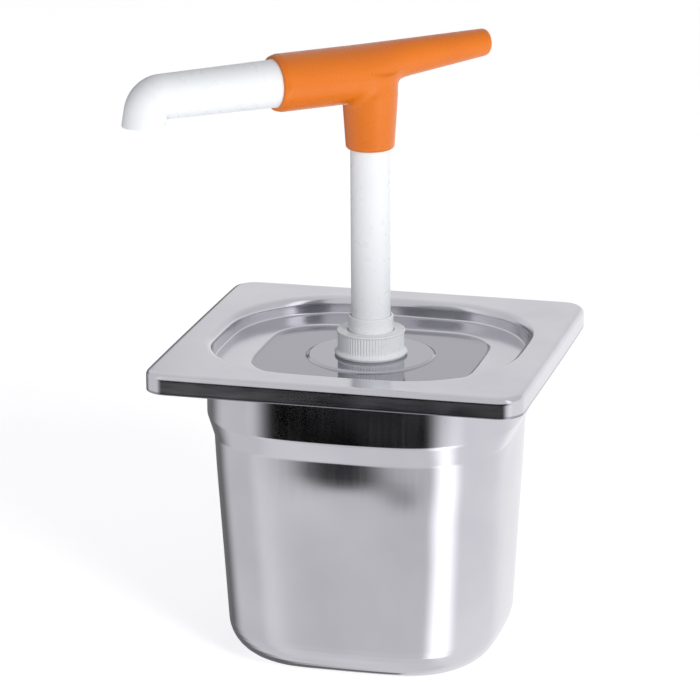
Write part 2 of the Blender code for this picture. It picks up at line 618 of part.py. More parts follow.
def build_spout(axis):
    """The spout: a tube whose tail sits in the handle, its beak bent down and cut level."""
    bend = spout_path()
    ring = [(-SPOUT_TAIL, SPOUT_RADIUS), (-SPOUT_RING_NEAR, SPOUT_RADIUS),
            (-SPOUT_RING_NEAR - STEP, SPOUT_RING_GROOVE),
            (-SPOUT_RING_FAR, SPOUT_RING_GROOVE), (-SPOUT_RING_FAR - STEP, SPOUT_RADIUS),
            (-HANDLE_MOUTH, SPOUT_RADIUS)]
    path = [(x, 0.0, TUBE_HEIGHT) for x, _ in ring] + [(x, 0.0, z) for x, z in bend]
    shrink = (SPOUT_OUTLET_RADIUS - SPOUT_BEND_RADIUS) / (len(bend) - 2)
    radii = [radius for _, radius in ring]
    radii += [SPOUT_BEND_RADIUS + shrink * i for i in range(len(bend) - 1)]
    radii.append(SPOUT_OUTLET_RADIUS)
    spout = swept("spout", path, radii)

    hollow_path = [(PAST - SPOUT_TAIL, 0.0, TUBE_HEIGHT)] + [(x, 0.0, z) for x, z in bend]
    hollow_radii = [SPOUT_BORE] + [radius - SPOUT_WALL for radius in radii[len(ring):]]
    hollow = swept("spout_hollow", hollow_path, hollow_radii, sides=HOLLOW_SIDES)
    # its end is pushed on past the outer tube's cap
    half_below = 0.5 * BELOW_OUTLET
    for vertex in hollow.data.vertices:
        if vertex.co.z < OUTLET_HEIGHT - half_below:
            vertex.co.z -= half_below
    combine(spout, on_head(hollow, axis), "DIFFERENCE")

    bpy.ops.mesh.primitive_cube_add(size=LEVEL_SIZE)
    level = bpy.context.object
    level.name = "outlet_level"
    level.location = (bend[-1][0], 0.0, OUTLET_HEIGHT - 0.5 * LEVEL_SIZE)
    for owner in list(level.users_collection):
        owner.objects.unlink(level)
    PARTS.objects.link(level)
    combine(spout, on_head(level, axis), "DIFFERENCE")
    finish_part(on_head(spout, axis), WHITE)

    centre = 0.5 * (SPOUT_RING_NEAR + SPOUT_RING_FAR)
    half = 0.5 * (SPOUT_RING_FAR - SPOUT_RING_NEAR) - GAP
    seal = cord_ring("spout_ring", HANDLE_BORE - 0.15 * MM, SPOUT_RING_GROOVE + GAP,
                     -half, half, steps=TURN_STEPS)
    seal.rotation_euler = (0.0, math.radians(90.0), 0.0)
    seal.location = (-centre, 0.0, TUBE_HEIGHT)
    finish_part(on_head(seal, axis), BLACK)


def build_head():
    axis = bpy.data.objects.new("head_axis", None)
    axis.rotation_euler = (0.0, 0.0, HEAD_TURN)
    PARTS.objects.link(axis)
    build_handle(axis)
    build_spout(axis)


def main():
    build_container()
    build_lid()
    build_collar()
    build_barrel()
    build_foot_valve()
    valve_ball("suction_ball", SUCTION_BALL, FOOT_HOLE, FOOT_TOP)
    build_spring()
    build_plunger()
    valve_ball("discharge_ball", DISCHARGE_BALL, DISCHARGE_SEAT, PISTON_LOW + PISTON_FLOOR)
    build_head()


main()
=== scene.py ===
import math

import bmesh
import bpy
import numpy as np
from mathutils import Matrix, Vector


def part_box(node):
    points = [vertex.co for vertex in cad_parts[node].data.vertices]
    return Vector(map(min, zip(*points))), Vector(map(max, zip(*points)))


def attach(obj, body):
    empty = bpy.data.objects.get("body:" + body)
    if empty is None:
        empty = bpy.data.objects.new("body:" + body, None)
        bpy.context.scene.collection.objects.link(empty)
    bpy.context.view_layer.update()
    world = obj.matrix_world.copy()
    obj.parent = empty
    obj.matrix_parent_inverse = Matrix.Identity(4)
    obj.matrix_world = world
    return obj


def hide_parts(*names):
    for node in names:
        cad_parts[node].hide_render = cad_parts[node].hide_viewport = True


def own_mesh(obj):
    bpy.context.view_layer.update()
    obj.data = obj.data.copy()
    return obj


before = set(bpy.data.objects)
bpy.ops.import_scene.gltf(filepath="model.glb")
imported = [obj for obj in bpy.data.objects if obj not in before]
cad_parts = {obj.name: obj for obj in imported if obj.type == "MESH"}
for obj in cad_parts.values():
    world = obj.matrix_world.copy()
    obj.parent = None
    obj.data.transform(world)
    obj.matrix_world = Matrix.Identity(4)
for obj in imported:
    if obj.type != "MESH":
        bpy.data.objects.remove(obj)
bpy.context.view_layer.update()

# Condiment pump dispenser: a gastronorm pan, its pump lid, and the pump.
# Shapes below are worked out in millimetres, in the frame's axes, and scaled when a mesh is made.

mm = 0.001
scene = bpy.context.scene


def roundCorners(points, steps=6, closed=False):
    # points are (..., radius): each corner with a radius becomes an arc, in any number of dimensions
    places = [np.array(p[:-1], float) for p in points]
    radii = [p[-1] for p in points]
    count = len(points)
    path = []
    for i in range(count):
        here = places[i]
        if radii[i] <= 0 or (not closed and i in (0, count - 1)):
            path.append(here)
            continue
        back = places[i - 1] - here
        ahead = places[(i + 1) % count] - here
        back, backLength = back / np.linalg.norm(back), np.linalg.norm(back)
        ahead, aheadLength = ahead / np.linalg.norm(ahead), np.linalg.norm(ahead)
        between = math.acos(max(-1.0, min(1.0, float(back @ ahead))))
        if between > math.radians(178):        # as good as straight
            path.append(here)
            continue
        trim = min(radii[i] / math.tan(between / 2), 0.49 * backLength, 0.49 * aheadLength)
        radius = trim * math.tan(between / 2)
        middle = back + ahead
        centre = here + middle / np.linalg.norm(middle) * (radius / math.sin(between / 2))
        first = here + back * trim - centre
        last = here + ahead * trim - centre
        sweep = math.pi - between
        for k in range(steps + 1):
            part = k / steps
            spot = (math.sin((1 - part) * sweep) * first + math.sin(part * sweep) * last) / math.sin(sweep)
            path.append(centre + spot)
    return path


def holdFlats(path, closed, hold=0.25):
    # extra points just inside each long straight, so that smooth shading stays flat there
    count = len(path)
    held = []
    for i in range(count if closed else count - 1):
        a, b = path[i], path[(i + 1) % count]
        length = np.linalg.norm(b - a)
        held.append(a)
        if length > 4 * hold:
            held.append(a + (b - a) * hold / length)
            held.append(b - (b - a) * hold / length)
    if not closed:
        held.append(path[-1])
    return held


def circle(radius, z, count, wobble=None):
    ring = []
    for i in range(count):
        angle = math.tau * i / count
        r = radius + (wobble(angle) if wobble else 0.0)
        ring.append((r * math.cos(angle), r * math.sin(angle), z))
    return ring


def roundedRectangle(halfX, halfY, corner, z, bow=0.3, quarterPoints=34):
    # sides bow out a little and run into the corners with no break in curvature, as pressed sheet does;
    # the radius is worked out along the outline's heading, and bow is how fast a side gives way to a corner
    heading = 0.25 * math.pi * (1 - np.cos(np.linspace(0, math.pi, 401)))
    width = math.radians(bow)
    radius = (corner + (halfY - corner) / width * np.exp(-heading / width)
              + (halfX - corner) / width * np.exp((heading - 0.5 * math.pi) / width))
    turn = np.diff(heading)
    between = 0.5 * (heading[1:] + heading[:-1])
    arc = 0.5 * (radius[1:] + radius[:-1]) * turn
    x = np.concatenate([np.cumsum((arc * np.sin(between))[::-1])[::-1], [0.0]])
    y = np.concatenate([[0.0], np.cumsum(arc * np.cos(between))])
    run = np.concatenate([[0.0], np.cumsum(arc)])
    share = 0.5 * run / run[-1] + heading / math.pi
    wanted = np.arange(quarterPoints) / quarterPoints
    px = np.interp(wanted, share, x * halfX / x[0])
    py = np.interp(wanted, share, y * halfY / y[-1])
    first = list(zip(px, py))
    second = [(-u, v) for u, v in [(0.0, halfY)] + first[:0:-1]]
    ring = first + second
    ring += [(-u, -v) for u, v in ring]
    return [(float(u), float(v), z) for u, v in ring]


def loft(rings, closed=False, capFirst=False, capLast=False):
    shape = bmesh.new()
    levels = [[shape.verts.new(p) for p in ring] for ring in rings]
    pairs = list(zip(levels, levels[1:]))
    if closed:
        pairs.append((levels[-1], levels[0]))
    for a, b in pairs:
        for i in range(len(a)):
            j = (i + 1) % len(a)
            shape.faces.new((a[i], a[j], b[j], b[i]))
    for wanted, level in ((capFirst, levels[0]), (capLast, levels[-1])):
        if not wanted:
            continue
        centre = shape.verts.new(sum((v.co for v in level), Vector()) / len(level))
        for i in range(len(level)):
            shape.faces.new((level[i], level[(i + 1) % len(level)], centre))
    bmesh.ops.recalc_face_normals(shape, faces=shape.faces)
    return shape


def asObject(name, shape, place=None):
    mesh = bpy.data.meshes.new(name)
    shape.to_mesh(mesh)
    shape.free()
    if place is not None:
        mesh.transform(place)
    mesh.transform(Matrix.Scale(mm, 4))
    piece = bpy.data.objects.new(name, mesh)
    scene.collection.objects.link(piece)
    return piece


def settle(piece, sharp=40):
    # bakes the modifiers into the mesh and shades it smooth
    bpy.context.view_layer.update()
    graph = bpy.context.evaluated_depsgraph_get()
    mesh = bpy.data.meshes.new_from_object(piece.evaluated_get(graph))
    piece.modifiers.clear()
    piece.data = mesh
    mesh.shade_smooth()
    mesh.set_sharp_from_angle(angle=math.radians(sharp))
    return piece


def thicken(piece, thickness):
    # the shape is a sheet's upper skin, and the metal goes below it
    sheet = piece.modifiers.new("sheet", "SOLIDIFY")
    sheet.thickness = thickness * mm
    sheet.offset = 1.0 if piece.data.polygons[-1].normal.z < 0 else -1.0
    sheet.use_even_offset = True
    settle(piece)


def cutWith(piece, name, rings, place=None):
    cutter = asObject(name, loft(rings, capFirst=True, capLast=True), place)
    cut = piece.modifiers.new(name, "BOOLEAN")
    cut.object = cutter
    cut.solver = "EXACT"
    settle(piece)
    bpy.data.objects.remove(cutter)


def fit(piece, material, body, slot, *nodes):
    piece.data.materials.clear()
    piece.data.materials.append(material)
    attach(piece, body)
    if nodes:
        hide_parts(*nodes)


def climb(path, step, closed):
    # cuts long runs into short ones, for a surface whose pattern changes along them
    cut = []
    count = len(path)
    for i in range(count if closed else count - 1):
        a, b = path[i], path[(i + 1) % count]
        parts = max(1, math.ceil(np.linalg.norm(b - a) / step))
        cut += [a + (b - a) * k / parts for k in range(parts)]
    if not closed:
        cut.append(path[-1])
    return cut


def turnedPiece(name, profile, steps=128, arcSteps=5, wobble=None, runStep=None, place=None):
    # profile points are (radius, z, corner radius) in order round the closed section
    path = holdFlats(roundCorners(profile, arcSteps, True), True)
    if runStep:
        path = climb(path, runStep, True)
    rings = []
    for radius, z in path:
        bend = (lambda angle, r=radius, z=z: wobble(angle, r, z)) if wobble else None
        rings.append(circle(max(radius, 0.001), z, steps, bend))
    return settle(asObject(name, loft(rings, closed=True), place))


def box(node):
    low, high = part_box(node)
    return low / mm, high / mm


def heights(node):
    low, high = box(node)
    return low.z, high.z


def linear(hexColour):
    values = [int(hexColour[i:i + 2], 16) / 255 for i in (1, 3, 5)]
    return tuple(v / 12.92 if v <= 0.04045 else ((v + 0.055) / 1.055) ** 2.4 for v in values) + (1.0,)


def addNode(tree, kind, settings=None, values=None, links=None):
    node = tree.nodes.new(kind)
    for key, value in (settings or {}).items():
        setattr(node, key, value)
    for key, value in (values or {}).items():
        node.inputs[key].default_value = value
    for key, source in (links or {}).items():
        tree.links.new(source, node.inputs[key])
    return node


def startMaterial(name, **values):
    material = bpy.data.materials.new(name)
    material.use_nodes = True
    tree = material.node_tree
    shader = tree.nodes["Principled BSDF"]
    for key, value in values.items():
        shader.inputs[key].default_value = value
    return material, tree, shader


def drawnStainless(name, look):
    # 18/10 stainless sheet, deep drawn and satin finished: a soft, slightly violet grey mirror
    # with fine lines along the draw and a blotchy haze
    material, tree, shader = startMaterial(name, Metallic=1.0)
    place = addNode(tree, "ShaderNodeTexCoord").outputs["Object"]
    stretch = addNode(tree, "ShaderNodeMapping", values={"Scale": look["grainStretch"]},
                      links={"Vector": place})
    grain = addNode(tree, "ShaderNodeTexNoise", values={"Scale": 1.0, "Detail": 2.0, "Roughness": 0.5},
                    links={"Vector": stretch.outputs[0]})
    haze = addNode(tree, "ShaderNodeTexNoise", values={"Scale": 1 / (look["hazeSize"] * mm), "Detail": 2.0},
                   links={"Vector": place})
    tone = addNode(tree, "ShaderNodeValToRGB", links={"Fac": haze.outputs["Fac"]})
    tone.color_ramp.elements[0].color = linear(look["dark"])
    tone.color_ramp.elements[0].position = 0.3
    tone.color_ramp.elements[1].color = linear(look["light"])
    tone.color_ramp.elements[1].position = 0.7
    colour = tone.outputs["Color"]
    grainShare = 0.35                   # how much the lines tell in the gloss, against the haze
    mixed = addNode(tree, "ShaderNodeMath", {"operation": "MULTIPLY_ADD"}, {1: grainShare},
                    {0: grain.outputs["Fac"], 2: haze.outputs["Fac"]})
    rough = addNode(tree, "ShaderNodeMapRange",
                    values={"From Min": 0.45, "From Max": 0.95,
                            "To Min": look["gloss"], "To Max": look["dull"]},
                    links={"Value": mixed.outputs[0]}).outputs[0]
    if "polished" in look:
        # the recess is buffed round the pump; a painted darker reflection lies in the colour of its pressed
        # panel, and a lighter painted reflection on the boss, between the two
        axes = addNode(tree, "ShaderNodeSeparateXYZ", links={"Vector": place}).outputs
        flat = addNode(tree, "ShaderNodeCombineXYZ", links={"X": axes["X"], "Y": axes["Y"]})
        away = addNode(tree, "ShaderNodeVectorMath", {"operation": "LENGTH"},
                       links={0: flat.outputs[0]}).outputs["Value"]
        near, far = look["buffed"]
        buffing = addNode(tree, "ShaderNodeMapRange",
                          values={"From Min": near * mm, "From Max": far * mm,
                                  "To Min": look["polished"], "To Max": 1.0},
                          links={"Value": away})
        rough = addNode(tree, "ShaderNodeMath", {"operation": "MULTIPLY"},
                        links={0: rough, 1: buffing.outputs[0]}).outputs[0]
        # painted reflection: the panel and boss colours stand in for the darker surroundings they mirror
        for part, value in (("panel", axes["Z"]), ("boss", away)):
            start, finish = look[part + "Edge"]
            paintedReflectionMask = addNode(tree, "ShaderNodeMapRange",
                           values={"From Min": start * mm, "From Max": finish * mm}, links={"Value": value})
            paintedReflection = addNode(tree, "ShaderNodeMix", {"data_type": "RGBA"},
                             links={"Factor": paintedReflectionMask.outputs[0], "B": colour})
            paintedReflection.inputs["A"].default_value = linear(look[part])
            colour = paintedReflection.outputs["Result"]
    tree.links.new(colour, shader.inputs["Base Color"])
    tree.links.new(rough, shader.inputs["Roughness"])
    bump = addNode(tree, "ShaderNodeBump", values={"Strength": look["grainDepth"], "Distance": 0.01 * mm},
                   links={"Height": grain.outputs["Fac"]})
    tree.links.new(bump.outputs[0], shader.inputs["Normal"])
    return material


def mouldedPlastic(name, look):
    # injection moulded: a smooth skin with the faint ripple of the mould, clouded a little in its colour,
    # and a soft glow inside the milky ones
    material, tree, shader = startMaterial(name, IOR=look["ior"], Metallic=0.0)
    if "glow" in look:
        strength, depth = look["glow"]
        shader.inputs["Subsurface Weight"].default_value = strength
        shader.inputs["Subsurface Scale"].default_value = depth * mm
        shader.inputs["Subsurface Radius"].default_value = (1.0, 1.0, 1.0)
    place = addNode(tree, "ShaderNodeTexCoord").outputs["Object"]
    cloud = addNode(tree, "ShaderNodeTexNoise",
                    values={"Scale": 1 / (look["cloudSize"] * mm), "Detail": 2.0}, links={"Vector": place})
    tone = addNode(tree, "ShaderNodeMix", {"data_type": "RGBA"}, links={"Factor": cloud.outputs["Fac"]})
    tone.inputs["A"].default_value = linear(look["deep"])
    tone.inputs["B"].default_value = linear(look["pale"])
    tree.links.new(tone.outputs["Result"], shader.inputs["Base Color"])
    skin = addNode(tree, "ShaderNodeTexNoise", values={"Scale": 1 / (look["skinSize"] * mm), "Detail": 1.0},
                   links={"Vector": place})
    rough = addNode(tree, "ShaderNodeMapRange",
                    values={"From Min": 0.3, "From Max": 0.7,
                            "To Min": look["gloss"], "To Max": look["dull"]},
                    links={"Value": skin.outputs["Fac"]})
    tree.links.new(rough.outputs[0], shader.inputs["Roughness"])
    bump = addNode(tree, "ShaderNodeBump", values={"Strength": look["skinDepth"], "Distance": 0.05 * mm},
                   links={"Height": skin.outputs["Fac"]})
    tree.links.new(bump.outputs[0], shader.inputs["Normal"])
    return material


whitePolypropylene = mouldedPlastic("moulded white polypropylene", {
    "deep": "#E9ECEF", "pale": "#F0F2F4", "cloudSize": 25, "ior": 1.49,
    "skinSize": 4.0, "gloss": 0.26, "dull": 0.36, "skinDepth": 0.02})
orangePolypropylene = mouldedPlastic("moulded orange polypropylene", {
    "deep": "#D86C04", "pale": "#E07706", "cloudSize": 22, "ior": 1.49,
    "skinSize": 3.5, "gloss": 0.26, "dull": 0.38, "skinDepth": 0.03})
# glow is (strength, depth): light scatters in the tube's wall, and a little in the silicone
milkyPolyethylene = mouldedPlastic("extruded milky polyethylene", {
    "deep": "#D5DADC", "pale": "#E2E6E8", "cloudSize": 10, "ior": 1.51, "glow": (0.35, 2.0),
    "skinSize": 0.9, "gloss": 0.3, "dull": 0.42, "skinDepth": 0.15})
greySilicone = mouldedPlastic("moulded grey silicone", {
    "deep": "#B9BCBE", "pale": "#C6C9CB", "cloudSize": 8, "ior": 1.43, "glow": (0.2, 1.0),
    "skinSize": 0.7, "gloss": 0.45, "dull": 0.6, "skinDepth": 0.2})
blackNitrile = mouldedPlastic("moulded black nitrile", {
    "deep": "#141414", "pale": "#1E1E1F", "cloudSize": 5, "ior": 1.52,
    "skinSize": 0.5, "gloss": 0.42, "dull": 0.6, "skinDepth": 0.25})
# bright wire, its die marks finer than they can be seen
springSteel = drawnStainless("drawn stainless wire", {
    "dark": "#A9A9AC", "light": "#C4C4C8", "grainStretch": (900, 900, 900),
    "hazeSize": 6, "gloss": 0.18, "dull": 0.34, "grainDepth": 0.2})
print("materials made")


panSteel = drawnStainless("drawn stainless pan", {
    "dark": "#BEBDC3", "light": "#CAC9CE",
    "grainStretch": (700, 700, 18),     # draw lines run up the walls; drawn 1.4 mm apart so that they show
    "hazeSize": 45, "gloss": 0.08, "dull": 0.15, "grainDepth": 0.06})

panHigh = box("pan")[1]
pan = {
    "sheet": 0.7,
    "rimCorner": 10.3, "rimRound": 2.0, "rimLow": 142.0, "hem": 1.3, "rimBow": 0.3,
    "neck": 73.1, "neckCorner": 48.5, "neckLow": 119.0, "neckFillet": 3.0, "neckBow": 2.4,
    "body": 69.0, "bodyCorner": 40.0, "bodyTop": 109.5, "bodyBow": 2.0,
    "foot": 64.4, "footCorner": 42.0, "footRound": 17.1,
    # the wall leans out to just below the shoulder, where it turns almost upright
    "wallTop": 16.0, "wallLean": 0.9, "wallCurve": 900, "shoulderRound": 2.2,
    # where the drawn walls have sprung: (side's outward direction, place along it, height, spreads, depth)
    "sprung": [
        ((0, -1), 0, 93, 20, 17, 1.0), ((0, -1), 31, 82, 14, 14, 0.46), ((0, -1), 4, 42, 30, 24, -0.15),
        ((1, 0), 3, 90, 18, 14, 0.45), ((1, 0), -8, 45, 26, 22, -0.15),
        ((0, 1), 10, 92, 16, 14, 0.5), ((0, 1), -6, 44, 28, 24, -0.15),
        ((-1, 0), -5, 91, 17, 14, 0.4), ((-1, 0), 6, 46, 26, 22, -0.15)],
}


def sprungWall(point):
    # shallow swellings of the drawn wall, a millimetre at most, that bend what it mirrors
    x, y, z = point
    for (ox, oy), along, height, wide, tall, depth in pan["sprung"]:
        if x * ox + y * oy <= 0:
            continue
        across = -x * oy + y * ox
        swell = depth * math.exp(-((across - along) / wide) ** 2 - ((z - height) / tall) ** 2)
        x, y = x + ox * swell, y + oy * swell
    return x, y, z


def makePan():
    deep = panHigh.z
    narrower = panHigh.y - panHigh.x           # the pan is shorter front to back
    rimX = panHigh.x
    base = pan["sheet"]
    neckRel = pan["neckCorner"] - pan["neck"]
    bodyRel = pan["bodyCorner"] - pan["body"]
    footRel = pan["footCorner"] - pan["foot"]
    rimRel = pan["rimCorner"] - rimX
    neckBow, bodyBow, rimBow = pan["neckBow"], pan["bodyBow"], pan["rimBow"]
    turn = pan["shoulderRound"]
    # levels are (half length, width less length, corner less half length, bow, height, rounding)
    levels = [
        (pan["foot"] - 40.0, narrower, footRel, bodyBow, base, 0),
        (pan["foot"] - 0.7, narrower, footRel, bodyBow, base, pan["footRound"]),
        (pan["body"] - pan["wallLean"], narrower, bodyRel, bodyBow, pan["bodyTop"] - pan["wallTop"],
         pan["wallCurve"]),
        (pan["body"] - 0.15, narrower, bodyRel, bodyBow, pan["bodyTop"], turn),
        (pan["neck"], narrower, neckRel, neckBow, pan["neckLow"], turn),
        (pan["neck"], narrower, neckRel, neckBow, deep, pan["neckFillet"]),
        (pan["neck"] + 4.0, narrower, neckRel, neckBow, deep, 0),
        (rimX - 3.5, narrower, rimRel, rimBow, deep, 0),
        (rimX, narrower, rimRel, rimBow, deep, pan["rimRound"]),
        (rimX, narrower, rimRel, rimBow, pan["rimLow"], pan["hem"]),
        (rimX - pan["hem"], narrower, rimRel, rimBow, pan["rimLow"], 0),
    ]
    rings = []
    for half, wider, corner, bow, z in climb(holdFlats(roundCorners(levels, 10), False, 0.5), 4.0, False):
        rings.append([sprungWall(p) for p in roundedRectangle(half, half + wider, half + corner, z, bow)])
    piece = asObject("drawnPanShell", loft(rings, capFirst=True))
    thicken(piece, pan["sheet"])
    fit(piece, panSteel, "container", "stainless_steel", "pan")


makePan()
print("pan made")


# the lid laps over the pan's rim, then dips inside its neck to a flat floor with a pressed panel and boss
lid = {
    "sheet": 0.8,
    "rimCorner": 11.3, "rimRound": 4.2, "hem": 0.5, "rimBow": 0.3, "wellBow": 1.2,
    "well": 71.5, "wellNarrower": -8.7, "wellCorner": 50.0, "wellFillet": 6.0, "wellDraft": 0.5,
    "floor": 143.0, "floorFillet": 0.9,
    "panel": 52.6, "panelNarrower": -10.4, "panelCorner": 25.0, "panelDrop": 0.8, "stepRun": 0.8,
    "boss": 29.0, "bossTop": 143.2, "bossRound": 1.2, "bossRun": 1.4, "panelRound": 1.6, "hole": 13.6,
}
lidLow, lidHigh = box("lid")
# the panel and boss colours are painted darker reflections laid into the lid's colour
lidSteel = drawnStainless("pressed stainless lid", {
    "dark": "#C2C1C7", "light": "#CECDD2", "panel": "#97969E", "boss": "#A5A4AB",
    "grainStretch": (60, 700, 700),     # polishing lines along the lid's length, drawn 1.4 mm apart
    "hazeSize": 38, "gloss": 0.11, "dull": 0.2, "grainDepth": 0.03,
    "polished": 0.45, "buffed": (44, 62),               # the polish fades out between these radii
    "panelEdge": (lid["floor"] - lid["panelDrop"] + 0.15, lid["floor"] - 0.15),     # heights
    "bossEdge": (lid["boss"], lid["boss"] + 0.8 * lid["bossRun"])})                 # radii


def makeLid():
    rimX, top = lidHigh.x, lidHigh.z
    narrower = lidHigh.y - lidHigh.x
    rimRel = lid["rimCorner"] - rimX
    wellRel = lid["wellCorner"] - lid["well"]
    panelRel = lid["panelCorner"] - lid["panel"]
    wellY, panelY = lid["wellNarrower"], lid["panelNarrower"]
    foot = lid["well"] - lid["wellDraft"]
    low = lid["floor"] - lid["panelDrop"]
    half = 0.5 * lid["stepRun"]
    wellBow, rimBow = lid["wellBow"], lid["rimBow"]
    # levels are (half length, width less length, corner less half length, bow, height, rounding)
    levels = [
        (rimX - lid["hem"], narrower, rimRel, rimBow, lidLow.z, 0),
        (rimX, narrower, rimRel, rimBow, lidLow.z, lid["hem"]),
        (rimX, narrower, rimRel, rimBow, top, lid["rimRound"]),
        (rimX - lid["rimRound"] - 1.5, narrower, rimRel, rimBow, top, 0),
        (lid["well"] + lid["wellFillet"] + 1.0, wellY, wellRel, wellBow, top, 0),
        (lid["well"], wellY, wellRel, wellBow, top, lid["wellFillet"]),
        (foot, wellY, wellRel, wellBow, lid["floor"], lid["floorFillet"]),
        (foot - 3.0, wellY, wellRel, wellBow, lid["floor"], 0),
        (lid["panel"] + 1.5, panelY, panelRel, wellBow, lid["floor"], 0),
        (lid["panel"] + half, panelY, panelRel, wellBow, lid["floor"], lid["panelRound"]),
        (lid["panel"] - half, panelY, panelRel, wellBow, low, lid["panelRound"]),
        (lid["panel"] - 2.0, panelY, panelRel, wellBow, low, 0),
    ]
    rings = []
    for halfX, wider, corner, bow, z in holdFlats(roundCorners(levels, 8), False, 0.5):
        rings.append(roundedRectangle(halfX, halfX + wider, halfX + corner, z, bow))
    boss = [
        (lid["boss"] + lid["bossRun"] + 2.5, low, 0),
        (lid["boss"] + lid["bossRun"], low, lid["bossRound"]),
        (lid["boss"], lid["bossTop"], lid["bossRound"]),
        (lid["hole"], lid["bossTop"], 0),
    ]
    for radius, z in holdFlats(roundCorners(boss, 6), False, 0.4):
        rings.append(circle(radius, z, len(rings[0])))
    piece = asObject("pressedLid", loft(rings))
    thicken(piece, lid["sheet"])
    fit(piece, lidSteel, "pump_body", "stainless_steel", "lid")


makeLid()
print("lid made")


# what clamps the pump to the lid: gasket below, ribbed nut and stem guide above
collar = {
    "ribs": 70, "ribDepth": 0.28,        # ribs 1.4 mm apart, as a hand-tight cap has
    "radius": 15.6, "lip": 16.05, "lipHeight": 0.8, "skirt": 17.2, "flareHeight": 2.6,
    "threadBore": 13.4, "roof": 152.7, "bore": 10.95,
}
guide = {"neck": 10.6, "bore": 9.55, "flange": 12.9, "spigot": 11.45, "lipRound": 1.0,
         "flangeLow": 150.8, "flangeHigh": 152.4, "wiperLow": 147.2, "wiperHigh": 149.4, "groove": 10.7}


def makeCollar():
    top = heights("collar_nut")[1]
    low = lid["bossTop"] + 0.03                # screwed down on the boss
    ribLow, ribHigh = low + collar["flareHeight"], top - collar["lipHeight"]

    def ribs(angle, radius, z):
        if radius < collar["radius"] - 0.1 or not ribLow - 1.4 <= z <= ribHigh + 0.2:
            return 0.0
        fade = min(1.0, max(0.0, (z - ribLow + 1.4) / 1.4), max(0.0, (ribHigh + 0.2 - z) / 0.3))
        groove = (0.5 - 0.5 * math.cos(collar["ribs"] * angle)) ** 2
        return -collar["ribDepth"] * fade * groove

    profile = [
        (collar["lip"], top, 0.45),
        (collar["lip"], ribHigh, 0.2),
        (collar["radius"], ribHigh - 0.25, 0.15),
        (collar["radius"], ribLow, 1.2),
        (collar["skirt"], low + 1.3, 0.4),
        (collar["skirt"] - 0.7, low, 0.2),
        (collar["threadBore"], low, 0.2),
        (collar["threadBore"], collar["roof"], 0.2),
        (collar["bore"], collar["roof"], 0.1),
        (collar["bore"], top, 0.25),
    ]
    piece = turnedPiece("ribbedCollarNut", profile, steps=collar["ribs"] * 8, arcSteps=4, wobble=ribs,
                        runStep=0.8)
    fit(piece, whitePolypropylene, "pump_body", "white_plastic", "collar_nut")


def makeGuide():
    low, top = heights("stem_guide")
    profile = [
        (guide["neck"], top, guide["lipRound"]),
        (guide["neck"], guide["flangeHigh"], 0.15),
        (guide["flange"], guide["flangeHigh"], 0.2),
        (guide["flange"], guide["flangeLow"], 0.2),
        (guide["spigot"], guide["flangeLow"], 0.1),
        (guide["spigot"], low, 0.4),
        (guide["bore"], low, 0.2),
        (guide["bore"], guide["wiperLow"], 0.05),
        (guide["groove"], guide["wiperLow"], 0.1),
        (guide["groove"], guide["wiperHigh"], 0.1),
        (guide["bore"], guide["wiperHigh"], 0.05),
        (guide["bore"], top, 0.0),
    ]
    piece = turnedPiece("stemGuideBush", profile)
    fit(piece, whitePolypropylene, "pump_body", "white_plastic", "stem_guide")


makeCollar()
makeGuide()
print("collar and guide made")


def cordRing(name, node, material, body, slot, inner, roundness=0.45, place=None):
    # a ring of rounded section: place is (where it lies, outer radius, bottom, top), or the node's own box
    if place is None:
        low, high = box(node)
        outer, bottom, top = high.x, low.z, high.z
    else:
        outer, bottom, top = place[1:]
    corner = roundness * min(outer - inner, top - bottom)
    profile = [(outer, top, corner), (outer, bottom, corner), (inner, bottom, corner), (inner, top, corner)]
    piece = turnedPiece(name, profile, steps=96, place=place[0] if place else None)
    piece.visible_glossy = False
    fit(piece, material, body, slot, node)


barrel = {"bore": 11.8, "outer": 13.2, "neck": 13.0, "flange": 19.0, "flangeLow": 138.0, "flangeTop": 140.6,
          "threadPitch": 2.5, "threadDepth": 0.45}


def makeBarrel():
    low, top = heights("pump_barrel")

    def thread(angle, radius, z):
        if abs(radius - barrel["neck"]) > 0.05 or z < barrel["flangeTop"] + 0.8 or z > top - 0.5:
            return 0.0
        turn = math.tau * z / barrel["threadPitch"] - angle
        return -barrel["threadDepth"] * (0.5 - 0.5 * math.cos(turn)) ** 0.7

    profile = [
        (barrel["neck"], top, 0.3),
        (barrel["neck"], barrel["flangeTop"], 0.3),
        (barrel["flange"], barrel["flangeTop"], 0.3),
        (barrel["flange"], barrel["flangeLow"], 0.5),
        (barrel["outer"], barrel["flangeLow"], 1.0),
        (barrel["outer"], low, 0.3),
        (barrel["bore"], low, 0.3),
        (barrel["bore"], top, 0.2),
    ]
    piece = turnedPiece("pumpBarrelTube", profile, wobble=thread, runStep=0.4, steps=96)
    fit(piece, whitePolypropylene, "pump_body", "white_plastic", "pump_barrel")


foot = {
    "spigot": 11.45, "ringLow": 26.4, "ringHigh": 28.4, "groove": 10.1,
    "flange": 13.2, "flangeHigh": 23.7, "flangeLow": 20.5, "nipple": 5.0, "hole": 4.0, "tubeWallIn": 0.3,
    "cageOuter": 8.0, "cageInner": 6.2, "cageHole": 3.4, "cageRoof": 42.9, "slot": 4.0, "slotCorner": 1.2,
}


